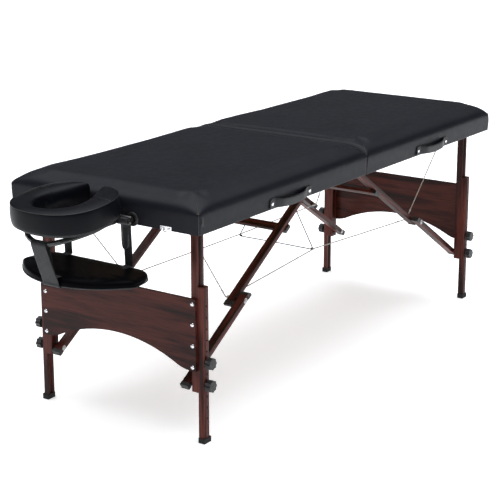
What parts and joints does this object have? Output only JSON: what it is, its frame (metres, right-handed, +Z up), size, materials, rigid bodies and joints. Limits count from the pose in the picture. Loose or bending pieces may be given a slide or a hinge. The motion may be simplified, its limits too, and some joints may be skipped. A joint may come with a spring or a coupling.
{
  "type": "portable massage table",
  "caption": "Padded massage table that folds in half, on braced folding wooden legs of adjustable height, with a face cradle and a hanging arm shelf at the head end.",
  "frame": {"origin": "on the floor, under the middle of the bounding box", "axes": "+X from the face cradle towards the foot end, +Y away from the side with the carrying handles, +Z up"},
  "size_m": [2.1552, 0.7294, 0.7691],
  "materials": {
    "vinyl": "satin upholstery vinyl",
    "strap": "woven webbing",
    "walnut": "dark walnut stain, satin varnish",
    "plywood": "bare plywood",
    "black_plastic": "moulded",
    "rubber": "matt",
    "cord": "coated cable",
    "elastic": "braided elastic",
    "chrome": "bright",
    "steel": "zinc plated",
    "black_steel": "black enamel"
  },
  "bodies": {
    "head_panel": {"head_frame": "walnut", "head_deck": "plywood", "head_cushion": "vinyl", "head_carry_handle": "strap", "head_strut_mount": "walnut", "head_leg_axle": "steel", "head_hinge_leaf": "steel"},
    "foot_panel": {"foot_frame": "walnut", "foot_deck": "plywood", "foot_cushion": "vinyl", "foot_carry_handle": "strap", "foot_strut_mount": "walnut", "foot_leg_axle": "steel", "foot_hinge_leaf": "steel"},
    "centre_hinge": {"folding_hinge_pin": "steel", "front_brace_cord": "cord", "back_brace_cord": "cord", "elastic_loop": "elastic"},
    "head_leg_frame": {"head_front_upper_leg": "walnut", "head_back_upper_leg": "walnut", "head_end_board": "walnut"},
    "head_lower_struts": {"head_front_lower_strut": "walnut", "head_back_lower_strut": "walnut"},
    "head_upper_struts": {"head_front_upper_strut": "walnut", "head_back_upper_strut": "walnut", "head_crossbar": "walnut"},
    "head_front_lower_leg": {"head_front_lower_leg": "walnut", "head_front_foot_cap": "rubber"},
    "head_front_upper_knob": {"head_front_upper_knob": "black_plastic"},
    "head_front_lower_knob": {"head_front_lower_knob": "black_plastic"},
    "head_back_lower_leg": {"head_back_lower_leg": "walnut", "head_back_foot_cap": "rubber"},
    "head_back_upper_knob": {"head_back_upper_knob": "black_plastic"},
    "head_back_lower_knob": {"head_back_lower_knob": "black_plastic"},
    "foot_leg_frame": {"foot_front_upper_leg": "walnut", "foot_back_upper_leg": "walnut", "foot_end_board": "walnut"},
    "foot_lower_struts": {"foot_front_lower_strut": "walnut", "foot_back_lower_strut": "walnut"},
    "foot_upper_struts": {"foot_front_upper_strut": "walnut", "foot_back_upper_strut": "walnut", "foot_crossbar": "walnut"},
    "foot_front_lower_leg": {"foot_front_lower_leg": "walnut", "foot_front_foot_cap": "rubber"},
    "foot_front_upper_knob": {"foot_front_upper_knob": "black_plastic"},
    "foot_front_lower_knob": {"foot_front_lower_knob": "black_plastic"},
    "foot_back_lower_leg": {"foot_back_lower_leg": "walnut", "foot_back_foot_cap": "rubber"},
    "foot_back_upper_knob": {"foot_back_upper_knob": "black_plastic"},
    "foot_back_lower_knob": {"foot_back_lower_knob": "black_plastic"},
    "cradle_mount": {"cradle_bracket": "black_steel", "hanger_tube": "black_steel", "arm_shelf": "vinyl", "front_shelf_strap": "strap", "back_shelf_strap": "strap", "lead_shelf_strap": "strap"},
    "face_cradle": {"cradle_platform": "black_plastic", "face_cushion": "vinyl"},
    "front_latch": {"front_latch_lever": "chrome"},
    "back_latch": {"back_latch_lever": "chrome"}
  },
  "joints": [
    {"name": "halves_fold", "type": "hinge", "parent": "head_panel", "child": "centre_hinge", "pos_m": [0.15056, 0.00915, 0.653], "axis": [0, 1, 0], "range_deg": [0, 90], "deforming": ["front_brace_cord", "back_brace_cord", "elastic_loop"]},
    {"name": "case_close", "type": "hinge", "parent": "centre_hinge", "child": "foot_panel", "pos_m": [0.15056, 0.00915, 0.653], "axis": [0, 1, 0], "range_deg": [0, 90]},
    {"name": "head_legs_fold", "type": "hinge", "parent": "head_panel", "child": "head_leg_frame", "pos_m": [-0.69544, 0.00915, 0.686], "axis": [0, -1, 0], "range_deg": [0, 90]},
    {"name": "head_upper_struts_fold", "type": "hinge", "parent": "head_panel", "child": "head_upper_struts", "pos_m": [0.09256, 0.00915, 0.686], "axis": [0, 1, 0], "range_deg": [0, 32.61]},
    {"name": "head_lower_struts_fold", "type": "hinge", "parent": "head_leg_frame", "child": "head_lower_struts", "pos_m": [-0.69544, 0.00915, 0.182], "axis": [0, -1, 0], "range_deg": [0, 58.41]},
    {"name": "head_front_leg_height", "type": "slide", "parent": "head_leg_frame", "child": "head_front_lower_leg", "axis": [0, 0, 1], "range_m": [-0.1388, 0.1041]},
    {"name": "head_front_upper_knob_turn", "type": "hinge", "parent": "head_leg_frame", "child": "head_front_upper_knob", "pos_m": [-0.69544, -0.32185, 0.251], "axis": [0, -1, 0], "continuous": true},
    {"name": "head_front_lower_knob_turn", "type": "hinge", "parent": "head_leg_frame", "child": "head_front_lower_knob", "pos_m": [-0.69544, -0.32185, 0.1816], "axis": [0, -1, 0], "continuous": true},
    {"name": "head_back_leg_height", "type": "slide", "parent": "head_leg_frame", "child": "head_back_lower_leg", "axis": [0, 0, 1], "range_m": [-0.1388, 0.1041]},
    {"name": "head_back_upper_knob_turn", "type": "hinge", "parent": "head_leg_frame", "child": "head_back_upper_knob", "pos_m": [-0.69544, 0.34015, 0.251], "axis": [0, 1, 0], "continuous": true},
    {"name": "head_back_lower_knob_turn", "type": "hinge", "parent": "head_leg_frame", "child": "head_back_lower_knob", "pos_m": [-0.69544, 0.34015, 0.1816], "axis": [0, 1, 0], "continuous": true},
    {"name": "foot_legs_fold", "type": "hinge", "parent": "foot_panel", "child": "foot_leg_frame", "pos_m": [0.99656, 0.00915, 0.686], "axis": [0, 1, 0], "range_deg": [0, 90]},
    {"name": "foot_upper_struts_fold", "type": "hinge", "parent": "foot_panel", "child": "foot_upper_struts", "pos_m": [0.20856, 0.00915, 0.686], "axis": [0, -1, 0], "range_deg": [0, 32.61]},
    {"name": "foot_lower_struts_fold", "type": "hinge", "parent": "foot_leg_frame", "child": "foot_lower_struts", "pos_m": [0.99656, 0.00915, 0.182], "axis": [0, 1, 0], "range_deg": [0, 58.41]},
    {"name": "foot_front_leg_height", "type": "slide", "parent": "foot_leg_frame", "child": "foot_front_lower_leg", "axis": [0, 0, 1], "range_m": [-0.1388, 0.1041]},
    {"name": "foot_front_upper_knob_turn", "type": "hinge", "parent": "foot_leg_frame", "child": "foot_front_upper_knob", "pos_m": [0.99656, -0.32185, 0.251], "axis": [0, -1, 0], "continuous": true},
    {"name": "foot_front_lower_knob_turn", "type": "hinge", "parent": "foot_leg_frame", "child": "foot_front_lower_knob", "pos_m": [0.99656, -0.32185, 0.1816], "axis": [0, -1, 0], "continuous": true},
    {"name": "foot_back_leg_height", "type": "slide", "parent": "foot_leg_frame", "child": "foot_back_lower_leg", "axis": [0, 0, 1], "range_m": [-0.1388, 0.1041]},
    {"name": "foot_back_upper_knob_turn", "type": "hinge", "parent": "foot_leg_frame", "child": "foot_back_upper_knob", "pos_m": [0.99656, 0.34015, 0.251], "axis": [0, 1, 0], "continuous": true},
    {"name": "foot_back_lower_knob_turn", "type": "hinge", "parent": "foot_leg_frame", "child": "foot_back_lower_knob", "pos_m": [0.99656, 0.34015, 0.1816], "axis": [0, 1, 0], "continuous": true},
    {"name": "cradle_slide", "type": "slide", "parent": "head_panel", "child": "cradle_mount", "axis": [-1, 0, 0], "range_m": [0, 0.065]},
    {"name": "cradle_tilt", "type": "hinge", "parent": "cradle_mount", "child": "face_cradle", "pos_m": [-0.81144, 0.00915, 0.674], "axis": [0, 1, 0], "range_deg": [0, 6]},
    {"name": "front_latch_swing", "type": "hinge", "parent": "head_panel", "child": "front_latch", "pos_m": [-0.77819, -0.23085, 0.671], "axis": [0, 1, 0], "range_deg": [0, 110]},
    {"name": "back_latch_swing", "type": "hinge", "parent": "head_panel", "child": "back_latch", "pos_m": [-0.77819, 0.24915, 0.671], "axis": [0, 1, 0], "range_deg": [0, 110]}
  ],
  "couplings": [
    {"joint": "head_legs_fold", "follows": "halves_fold", "ratio": 1},
    {"joint": "head_upper_struts_fold", "follows": "halves_fold", "ratio": 0.36226},
    {"joint": "head_lower_struts_fold", "follows": "halves_fold", "ratio": 0.64886},
    {"joint": "foot_legs_fold", "follows": "halves_fold", "ratio": 1},
    {"joint": "foot_upper_struts_fold", "follows": "halves_fold", "ratio": 0.36226},
    {"joint": "foot_lower_struts_fold", "follows": "halves_fold", "ratio": 0.64886}
  ]
}
